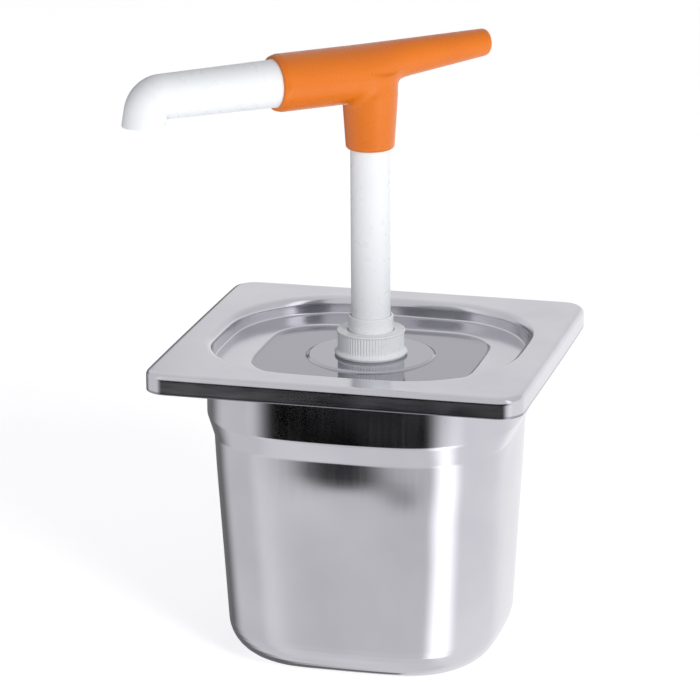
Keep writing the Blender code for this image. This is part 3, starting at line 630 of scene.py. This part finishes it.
def makeFootValve():
    low, top = heights("foot_valve_seat")
    profile = [
        (foot["spigot"], top, 0.3),
        (foot["spigot"], foot["ringHigh"], 0.1),
        (foot["groove"], foot["ringHigh"], 0.1),
        (foot["groove"], foot["ringLow"], 0.1),
        (foot["spigot"], foot["ringLow"], 0.1),
        (foot["spigot"], foot["flangeHigh"], 0.15),
        (foot["flange"], foot["flangeHigh"], 0.3),
        (foot["flange"], foot["flangeLow"], 0.6),
        (foot["nipple"], foot["flangeLow"], 0.8),
        (foot["nipple"], low, 0.4),
        (foot["hole"], low, 0.2),
        (foot["hole"], top, 0.15),
    ]
    seat = turnedPiece("footValveSeat", profile, steps=96)
    fit(seat, whitePolypropylene, "pump_body", "white_plastic", "foot_valve_seat")

    cageLow, cageTop = heights("ball_cage")
    profile = [
        (foot["cageOuter"], cageTop, 0.5),
        (foot["cageOuter"], cageLow, 0.2),
        (foot["cageInner"], cageLow, 0.2),
        (foot["cageInner"], foot["cageRoof"], 0.6),
        (foot["cageHole"], foot["cageRoof"], 0.2),
        (foot["cageHole"], cageTop, 0.2),
    ]
    cage = turnedPiece("ballCage", profile, steps=96)
    slotLow, slotHigh = cageLow + foot["slot"], foot["cageRoof"] - 0.3 * foot["slot"]
    reach = foot["cageOuter"] + 1.0
    halfX, halfY = 0.5 * foot["slot"], 0.5 * (slotHigh - slotLow)
    rings = [roundedRectangle(halfX, halfY, foot["slotCorner"], z, quarterPoints=10) for z in (-reach, reach)]
    for turn in (0, 90):
        lie = (Matrix.Translation((0, 0, 0.5 * (slotLow + slotHigh)))
               @ Matrix.Rotation(math.radians(turn), 4, "Z") @ Matrix.Rotation(math.radians(90), 4, "X"))
        cutWith(cage, "slot", rings, lie)
    fit(cage, whitePolypropylene, "pump_body", "white_plastic", "ball_cage")

    tubeLow, tubeTop = box("dip_tube")
    bore = foot["nipple"] + foot["tubeWallIn"]
    corners = ((tubeTop.x, tubeTop.z), (tubeTop.x, tubeLow.z), (bore, tubeLow.z), (bore, tubeTop.z))
    profile = [(radius, z, 0.3) for radius, z in corners]
    tube = turnedPiece("dipTubeCut", profile, steps=96)
    fit(tube, milkyPolyethylene, "pump_body", "clear_plastic", "dip_tube")


def makeBall(name, node, body):
    low, high = box(node)
    radius, middle = high.x, 0.5 * (low.z + high.z)
    rings = []
    for k in range(41):
        tilt = math.pi * k / 40
        rings.append(circle(max(0.001, radius * math.sin(tilt)), middle + radius * math.cos(tilt), 64))
    piece = settle(asObject(name, loft(rings, capFirst=True, capLast=True)))
    fit(piece, springSteel, body, "spring_steel", node)


makeBarrel()
makeFootValve()
cordRing("barrelGasket", "barrel_gasket", greySilicone, "pump_body", "silicone", 13.5, 0.3)
cordRing("stemWiper", "stem_wiper", blackNitrile, "pump_body", "black_rubber", 9.5)
cordRing("footValveRing", "foot_valve_ring", blackNitrile, "pump_body", "black_rubber", 10.4)
cordRing("springWasher", "spring_washer", springSteel, "pump_body", "spring_steel", 8.3, 0.2)
makeBall("suctionBall", "suction_ball", "lower_valve")
print("barrel and foot valve made")


coil = {"wire": 0.75, "radius": 9.9, "turns": 12, "endTurns": 1.0, "sides": 14, "pointsPerTurn": 40}


def tubeAlong(points, radius, sides):
    rings = []
    count = len(points)
    for i in range(count):
        ahead = Vector(points[min(i + 1, count - 1)]) - Vector(points[max(i - 1, 0)])
        side = ahead.cross(Vector((0, 0, 1))).normalized()
        over = side.cross(ahead).normalized()
        middle = Vector(points[i])
        rings.append([middle + radius * (side * math.cos(a) + over * math.sin(a))
                      for a in (math.tau * k / sides for k in range(sides))])
    return loft(rings, capFirst=True, capLast=True)


def makeSpring():
    low, high = heights("return_spring")
    turns, ends, wire = coil["turns"], coil["endTurns"], coil["wire"]
    closedPitch = 2.05 * wire
    start, finish = low + wire, high - wire
    openPitch = (finish - start - 2 * ends * closedPitch) / (turns - 2 * ends)
    count = turns * coil["pointsPerTurn"]
    points = []
    for i in range(count + 1):
        turn = turns * i / count
        first = min(turn, ends)
        last = max(0.0, turn - (turns - ends))
        z = start + (first + last) * closedPitch + (turn - first - last) * openPitch
        angle = math.tau * turn
        points.append((coil["radius"] * math.cos(angle), coil["radius"] * math.sin(angle), z))
    piece = settle(asObject("returnSpringCoil", tubeAlong(points, wire, coil["sides"])))
    fit(piece, springSteel, "pump_body", "spring_steel", "return_spring")
    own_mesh(piece)


makeSpring()
print("spring made")


# the plunger: a hollow stem with the piston, its seal and the discharge valve on its foot
plunger = {
    "stem": 9.2, "stemBore": 6.2, "spigot": 7.6, "valveBore": 5.8, "valveTop": 146.6, "floorTop": 133.7,
    "ringLow": 254.0, "ringHigh": 256.6, "ringGroove": 8.0,
    "piston": 11.45, "sealLow": 137.0, "sealHigh": 141.0, "sealGroove": 9.8, "seat": 3.0, "socket": 7.9,
    "shoulder": 146.0,
}


def makePlunger():
    low, top = heights("plunger_stem")
    profile = [
        (plunger["stem"], top, 0.6),
        (plunger["stem"], plunger["ringHigh"], 0.1),
        (plunger["ringGroove"], plunger["ringHigh"], 0.1),
        (plunger["ringGroove"], plunger["ringLow"], 0.1),
        (plunger["stem"], plunger["ringLow"], 0.1),
        (plunger["stem"], plunger["shoulder"], 0.3),
        (plunger["spigot"], plunger["shoulder"], 0.2),
        (plunger["spigot"], low, 0.3),
        (plunger["valveBore"], low, 0.2),
        (plunger["valveBore"], plunger["valveTop"], 0.1),
        (plunger["stemBore"], plunger["valveTop"], 0.1),
        (plunger["stemBore"], top, 0.3),
    ]
    stem = turnedPiece("plungerStemTube", profile)
    fit(stem, whitePolypropylene, "plunger", "white_plastic", "plunger_stem")

    pistonLow, pistonTop = heights("piston")
    profile = [
        (plunger["piston"], pistonTop, 0.5),
        (plunger["piston"], plunger["sealHigh"], 0.15),
        (plunger["sealGroove"], plunger["sealHigh"], 0.15),
        (plunger["sealGroove"], plunger["sealLow"], 0.15),
        (plunger["piston"], plunger["sealLow"], 0.15),
        (plunger["piston"], pistonLow, 0.5),
        (plunger["seat"], pistonLow, 0.3),
        (plunger["seat"], plunger["floorTop"], 0.2),
        (plunger["socket"], plunger["floorTop"], 0.3),
        (plunger["socket"], pistonTop, 0.3),
    ]
    piston = turnedPiece("pistonHead", profile, steps=96)
    fit(piston, whitePolypropylene, "plunger", "white_plastic", "piston")


makePlunger()
cordRing("pistonSeal", "piston_seal", greySilicone, "plunger", "silicone", 10.1, 0.35)
cordRing("dischargeBallStop", "discharge_ball_stop", whitePolypropylene, "plunger", "white_plastic",
         2.4, 0.2)
cordRing("stemRing", "stem_ring", blackNitrile, "plunger", "black_rubber", 8.3)
makeBall("dischargeBall", "discharge_ball", "upper_valve")
print("plunger made")


# the head: handle and spout in line, their axis level, turned about the stem
head = {
    "turn": 42, "height": 277.2,
    "mouth": 49.3, "mouthRadius": 12.45, "chamfer": 2.8, "tube": 13.25, "bore": 11.2, "boreDepth": 19.5,
    "taperStart": -6.0, "tailStart": 13.5, "tailRadius": 8.9, "tailRise": 4.68,
    "tailEnd": 61.5, "tipRadius": 6.15, "tipRise": 8.2,
    "socketLow": 241.7, "socketLowRadius": 11.2, "socketHighRadius": 12.9,
    "socketBore": 9.65, "socketTop": 262.0,
    "passage": 6.0, "webFillet": 1.4, "edgeRound": 0.7, "grain": 0.5,
}
headPlace = Matrix.Rotation(math.radians(head["turn"]), 4, "Z")


def softer(a, b, width):
    # the larger of two fields, rounded over where they meet
    over = np.maximum(width - np.abs(a - b), 0.0) / width
    return np.maximum(a, b) + over * over * width / 4


def gripField(p):
    # how far outside the grip's skin each point is, in mm, in the head's own frame about its axis
    x, y, z = p[:, 0], p[:, 1], p[:, 2]
    stations = [head["taperStart"] - 8, head["taperStart"], head["tailStart"], head["tailEnd"] + 2]
    radii = [head["tube"], head["tube"], head["tailRadius"], head["tipRadius"]]
    rises = [0.0, 0.0, head["tailRise"], head["tipRise"]]
    spread = np.linspace(-6.0, 6.0, 13)          # averaging along the grip rounds off the profile's bends
    radius = np.mean([np.interp(x + s, stations, radii) for s in spread], axis=0)
    rise = np.mean([np.interp(x + s, stations, rises) for s in spread], axis=0)
    out = np.hypot(y, z - rise)
    tube = out - radius
    edge = head["edgeRound"]
    flank = ((out - head["mouthRadius"]) * head["chamfer"]
             - (x + head["mouth"]) * (head["tube"] - head["mouthRadius"])) / head["chamfer"]
    tube = softer(tube, flank, 0.15 * edge)
    tube = softer(tube, -head["mouth"] - x, 0.6 * edge)
    tube = softer(tube, x - head["tailEnd"], 4 * edge)
    drop = head["height"] - head["socketLow"]
    up = (z + drop) / (drop - 10.0)
    slope = head["socketHighRadius"] - head["socketLowRadius"]
    wall = head["socketLowRadius"] + slope * np.clip(up, 0.0, 1.0)
    socket = softer(np.hypot(x, y) - wall, -drop - z, 2.5 * edge)
    socket = softer(socket, z, edge)
    return -softer(-tube, -socket, 2 * head["webFillet"])


def ontoSkin(points):
    # walks each point along the field's slope until it lies on the skin
    step = 0.02
    for _ in range(8):
        here = gripField(points)
        slope = np.stack([gripField(points + step * axis) - gripField(points - step * axis)
                          for axis in np.eye(3)], axis=1) / (2 * step)
        size = np.maximum(np.sum(slope * slope, axis=1), 0.2)
        points = points - np.clip(here / size, -0.5, 0.5)[:, None] * slope
    return points


def alongX(rings, height):
    return [[(z, x, y + height) for x, y, z in ring] for ring in rings]


def makeHandle():
    drop = head["height"] - head["socketLow"]
    # a rough grip and socket, remeshed to an even grain and then drawn onto the skin
    stations = [(head["tube"] - 1, -head["mouth"], 0.0), (head["tube"] - 0.2, head["taperStart"], 0.0),
                (head["tailRadius"], head["tailStart"], head["tailRise"]),
                (head["tipRadius"], head["tailEnd"], head["tipRise"])]
    body = [alongX([circle(radius, x, 48)], rise)[0] for radius, x, rise in stations]
    shape = loft(body, capFirst=True, capLast=True)
    socket = loft([circle(head["socketLowRadius"], -drop, 48), circle(head["socketHighRadius"], 0.0, 48)],
                  capFirst=True, capLast=True)
    spare = bpy.data.meshes.new("spare")
    socket.to_mesh(spare)
    socket.free()
    shape.from_mesh(spare)
    bpy.data.meshes.remove(spare)
    piece = asObject("taperedHandle", shape)
    grid = piece.modifiers.new("grid", "REMESH")
    grid.mode = "VOXEL"
    grid.voxel_size = head["grain"] * mm
    settle(piece)
    count = len(piece.data.vertices)
    flat = np.empty(count * 3, np.float32)
    piece.data.vertices.foreach_get("co", flat)
    skin = ontoSkin(flat.reshape(-1, 3).astype(float) / mm)
    skin[:, 2] += head["height"]
    piece.data.vertices.foreach_set("co", (skin * mm).astype(np.float32).ravel())
    piece.data.update()

    deep, reach = head["mouth"] + 1.0, head["boreDepth"]
    stations = [(head["bore"], -deep), (head["bore"], -reach - 0.4), (head["bore"] - 0.4, -reach),
                (head["passage"], -reach), (head["passage"], 0.0)]
    cutWith(piece, "spoutBore", alongX([circle(r, x, 96) for r, x in stations], head["height"]))
    stations = [(head["socketBore"], head["socketLow"] - 1.0), (head["socketBore"], head["socketTop"]),
                (head["passage"], head["socketTop"]), (head["passage"], head["height"])]
    cutWith(piece, "stemBore", [circle(r, z, 96) for r, z in stations])
    piece.data.transform(headPlace)
    piece.visible_glossy = False       # the head is kept out of what the lid's fillets mirror
    fit(piece, orangePolypropylene, "head", "orange_plastic", "handle")


makeHandle()
print("handle made")


spout = {
    "tail": 20.0, "radius": 10.9, "bendRadius": 10.2, "outletRadius": 9.7, "bore": 8.3, "wall": 2.1,
    "ringNear": 27.0, "ringFar": 29.6, "groove": 9.7,
    "bendStart": 105.0, "bend": 7.5, "slant": 12.0, "outlet": 264.9, "edgeRound": 0.35,
    "sides": 96,
}


def spoutPlace(run):
    # the spout's centre and heading at a length along it, its heading turning down through the bend
    bendAngle = math.radians(90 - spout["slant"])
    if run <= spout["bendStart"]:
        return Vector((-run, 0, head["height"])), Vector((-1, 0, 0))
    turned = min(bendAngle, (run - spout["bendStart"]) / spout["bend"])
    middle = Vector((-spout["bendStart"], 0, head["height"] - spout["bend"]))
    centre = middle + spout["bend"] * Vector((-math.sin(turned), 0, math.cos(turned)))
    return centre, Vector((-math.cos(turned), 0, -math.sin(turned)))


def mitred(spot, inward, run):
    # the bend is tighter than the tube is thick, so its inner side stops at the plane that halves the bend
    half = math.radians(90 - spout["slant"]) / 2
    middle = Vector((-spout["bendStart"], 0, head["height"] - spout["bend"]))
    across = (spot - middle).dot(Vector((-math.cos(half), 0, -math.sin(half))))
    firstHalf = run < spout["bendStart"] + spout["bend"] * half
    if inward <= spout["bend"] or (across > 0) != firstHalf:
        return spot
    reach = (inward - spout["bend"]) / math.cos(half)
    return Vector((middle.x + reach * math.sin(half), spot.y, middle.z - reach * math.cos(half)))


def makeSpout():
    bendEnd = spout["bendStart"] + spout["bend"] * math.radians(90 - spout["slant"])
    end = bendEnd + 4.0
    edge = spout["edgeRound"]
    section = [
        (spout["bore"], spout["tail"], edge),
        (spout["radius"], spout["tail"], edge),
        (spout["radius"], spout["ringNear"], 0.1),
        (spout["groove"], spout["ringNear"], 0.1),
        (spout["groove"], spout["ringFar"], 0.1),
        (spout["radius"], spout["ringFar"], 0.1),
        (spout["radius"], head["mouth"], 4.0),
        (spout["bendRadius"], spout["bendStart"], 4.0),
        (spout["bendRadius"] - 0.3, bendEnd, 2.0),
        (spout["outletRadius"], end, edge),
        (spout["outletRadius"] - spout["wall"], end, edge),
        (spout["bendRadius"] - 0.3 - spout["wall"], bendEnd, 2.0),
        (spout["bendRadius"] - spout["wall"], spout["bendStart"], 4.0),
    ]
    path = climb(holdFlats(roundCorners(section, 5, True), True), 1.2, True)
    rings = []
    for radius, run in (map(float, point) for point in path):
        centre, heading = spoutPlace(run)
        side = Vector((0, 1, 0))
        over = heading.cross(side)
        ring = []
        for k in range(spout["sides"]):
            angle = math.tau * k / spout["sides"]
            spot = centre + radius * (side * math.cos(angle) + over * math.sin(angle))
            if run > bendEnd:
                # the last stretch runs on to the level cut of the outlet
                fall = (spot.z - spout["outlet"]) / -heading.z
                spot += heading * fall * (run - bendEnd) / (end - bendEnd)
            ring.append(mitred(spot, -radius * math.sin(angle) * over.z / abs(over.z), run))
        rings.append(ring)
    piece = asObject("bentSpout", loft(rings, closed=True), headPlace)
    piece.modifiers.new("weld", "WELD").merge_threshold = 0.002 * mm
    settle(piece)
    piece.visible_glossy = False
    fit(piece, whitePolypropylene, "head", "white_plastic", "spout")

    half = 0.5 * (spout["ringFar"] - spout["ringNear"]) - 0.3
    centre = 0.5 * (spout["ringFar"] + spout["ringNear"])
    lie = (headPlace @ Matrix.Translation((-centre, 0, head["height"]))
           @ Matrix.Rotation(math.radians(90), 4, "Y"))
    cordRing("spoutRing", "spout_ring", blackNitrile, "head", "black_rubber", 10.0,
             place=(lie, head["bore"] - 0.15, -half, half))


makeSpout()
print("spout made")


# a long lens, from a little above and to the right of the front
camera = {"place": (0.3912, -1.5423, 0.6266), "yaw": -14.587, "pitch": 16.853, "roll": -0.345,
          "view": 3554, "across": 700}


def makeCamera():
    yaw, pitch, roll = (math.radians(camera[key]) for key in ("yaw", "pitch", "roll"))
    ahead = Vector((math.sin(yaw) * math.cos(pitch), math.cos(yaw) * math.cos(pitch), -math.sin(pitch)))
    level = Vector((math.cos(yaw), -math.sin(yaw), 0))
    up = level.cross(ahead)
    right = math.cos(roll) * level + math.sin(roll) * up
    top = -math.sin(roll) * level + math.cos(roll) * up
    data = bpy.data.cameras.new("camera")
    data.sensor_width = 36
    data.lens = camera["view"] / camera["across"] * data.sensor_width
    data.clip_end = 20
    thing = bpy.data.objects.new("camera", data)
    turn = Matrix((right, top, -ahead)).transposed()
    thing.matrix_world = Matrix.Translation(camera["place"]) @ turn.to_4x4()
    scene.collection.objects.link(thing)
    scene.camera = thing


makeCamera()

# a product table: a glowing white sheet below, one soft lamp low on the right, and a room that is dimmer
# on the left and overhead; its ramps are (start, finish, level at start, level at finish), in degrees
studio = {
    "floorSize": 6.0, "floorTone": "#FBFBFC", "floorShade": "#F6F6F8", "floorGlow": 0.64,
    "keyPower": 11.0, "keySize": 0.5, "keyPlace": (1.05, -1.05, 0.75), "keyAim": (0, 0, 0.14),
    "leftToRight": (-140, -50, 0.06, 0.62), "upward": (5, 60, 1.0, 0.62), "roomTone": "#FCFCFE",
}


def makeFloor():
    half = 0.5 * studio["floorSize"]
    mesh = bpy.data.meshes.new("floor")
    corners = [(-half, -half, 0), (half, -half, 0), (half, half, 0), (-half, half, 0)]
    mesh.from_pydata(corners, [], [(0, 1, 2, 3)])
    floor = bpy.data.objects.new("floor", mesh)
    scene.collection.objects.link(floor)
    material, tree, shader = startMaterial("pale floor", Roughness=0.9)
    place = addNode(tree, "ShaderNodeTexCoord").outputs["Object"]
    cloud = addNode(tree, "ShaderNodeTexNoise", values={"Scale": 1.5}, links={"Vector": place})
    tone = addNode(tree, "ShaderNodeMix", {"data_type": "RGBA"}, links={"Factor": cloud.outputs["Fac"]})
    tone.inputs["A"].default_value = linear(studio["floorTone"])
    tone.inputs["B"].default_value = linear(studio["floorShade"])
    tree.links.new(tone.outputs["Result"], shader.inputs["Base Color"])
    shader.inputs["Emission Color"].default_value = linear(studio["floorTone"])
    shader.inputs["Emission Strength"].default_value = studio["floorGlow"]
    mesh.materials.append(material)
    floor.visible_glossy = False


def makeKeyLight():
    data = bpy.data.lights.new("keyLight", "AREA")
    data.shape = "DISK"
    data.size = studio["keySize"]
    data.energy = studio["keyPower"]
    thing = bpy.data.objects.new("keyLight", data)
    place = Vector(studio["keyPlace"])
    thing.location = place
    thing.rotation_euler = (place - Vector(studio["keyAim"])).to_track_quat("Z", "Y").to_euler()
    thing.visible_glossy = False
    scene.collection.objects.link(thing)


# what the steel mirrors, azimuths anticlockwise from the front's, all in degrees: ramps as above, then
# patches of (middle azimuth, half width, soft edge, lowest and highest elevation, soft edge, brightness)
mirrored = {
    "facing": 288,
    "below": (-75, -20, 0.98, 0.86), "above": (10, 60, 0.0, 0.80), "behind": (90, 150, 0.0, 0.93),
    "patches": {
        "darkEdge": (-162, 14, 32, -60, 10, 12, 0.2),
        "leftGlow": (-59, 3, 22, -62, 45, 12, 1.06),
        "rightGlow": (105, 45, 38, -62, 6, 12, 1.14),
        "darkStudio": (-15, 31, 33, -20.2, -3, 2.8, 0.003),
        "stripLight": (33, 3, 23, -46, -23, 8, 2.2),
        "highLight": (40, 4, 12, 8, 52, 10, 1.6)},
}


def smoothFade(tree, *ramps):
    # eases each value from one level to another, and multiplies the results
    product = None
    for value, start, finish, low, high in ramps:
        ramp = addNode(tree, "ShaderNodeMapRange", {"interpolation_type": "SMOOTHSTEP"},
                       {"From Min": start, "From Max": finish, "To Min": low, "To Max": high},
                       {"Value": value})
        if product is not None:
            ramp = addNode(tree, "ShaderNodeMath", {"operation": "MULTIPLY"},
                           links={0: product, 1: ramp.outputs[0]})
        product = ramp.outputs[0]
    return product


def makeWorld():
    world = bpy.data.worlds.new("studio")
    world.use_nodes = True
    tree = world.node_tree
    tree.nodes.clear()
    scene.world = world
    way = addNode(tree, "ShaderNodeTexCoord").outputs["Generated"]
    facing = math.radians(mirrored["facing"])
    turned = addNode(tree, "ShaderNodeMapping", values={"Rotation": (0, 0, -facing)}, links={"Vector": way})
    axes = addNode(tree, "ShaderNodeSeparateXYZ", links={"Vector": turned.outputs[0]}).outputs
    around = addNode(tree, "ShaderNodeMath", {"operation": "ARCTAN2"}, links={0: axes["Y"], 1: axes["X"]})
    azimuth = addNode(tree, "ShaderNodeMath", {"operation": "DEGREES"},
                      links={0: around.outputs[0]}).outputs[0]
    rising = addNode(tree, "ShaderNodeMath", {"operation": "ARCSINE"}, links={0: axes["Z"]})
    elevation = addNode(tree, "ShaderNodeMath", {"operation": "DEGREES"},
                        links={0: rising.outputs[0]}).outputs[0]
    turnedAway = addNode(tree, "ShaderNodeMath", {"operation": "ABSOLUTE"}, links={0: azimuth}).outputs[0]

    tone = smoothFade(tree, (elevation, *mirrored["below"]))
    for value, side in ((elevation, "above"), (turnedAway, "behind")):
        tone = addNode(tree, "ShaderNodeMath", {"operation": "MAXIMUM"},
                       links={0: tone, 1: smoothFade(tree, (value, *mirrored[side]))}).outputs[0]
    for middle, half, softSide, lowest, highest, softEnd, level in mirrored["patches"].values():
        left, right = middle + half, middle - half
        patch = smoothFade(tree,
                           (azimuth, right - softSide, right, 0.0, 1.0),
                           (azimuth, left, left + softSide, 1.0, 0.0),
                           (elevation, lowest - softEnd, lowest, 0.0, 1.0),
                           (elevation, highest, highest + softEnd, 1.0, 0.0))
        mixer = addNode(tree, "ShaderNodeMix", {"data_type": "FLOAT"}, links={"Factor": patch, "A": tone})
        mixer.inputs["B"].default_value = level
        tone = mixer.outputs["Result"]

    # plain white behind the object, the patches for mirrors, and the soft room for all other light
    rays = addNode(tree, "ShaderNodeLightPath").outputs
    soft = smoothFade(tree, (azimuth, *studio["leftToRight"]), (elevation, *studio["upward"]))
    spread = addNode(tree, "ShaderNodeMix", {"data_type": "FLOAT"},
                     links={"Factor": rays["Is Glossy Ray"], "A": soft, "B": tone})
    seen = addNode(tree, "ShaderNodeMix", {"data_type": "FLOAT"}, {"B": 1.0},
                   {"Factor": rays["Is Camera Ray"], "A": spread.outputs["Result"]})
    back = addNode(tree, "ShaderNodeBackground", links={"Strength": seen.outputs["Result"]})
    back.inputs["Color"].default_value = linear(studio["roomTone"])
    out = addNode(tree, "ShaderNodeOutputWorld", links={"Surface": back.outputs[0]})
    out.is_active_output = True


makeFloor()
makeKeyLight()
makeWorld()
scene.view_settings.view_transform = "Standard"
print("studio made")
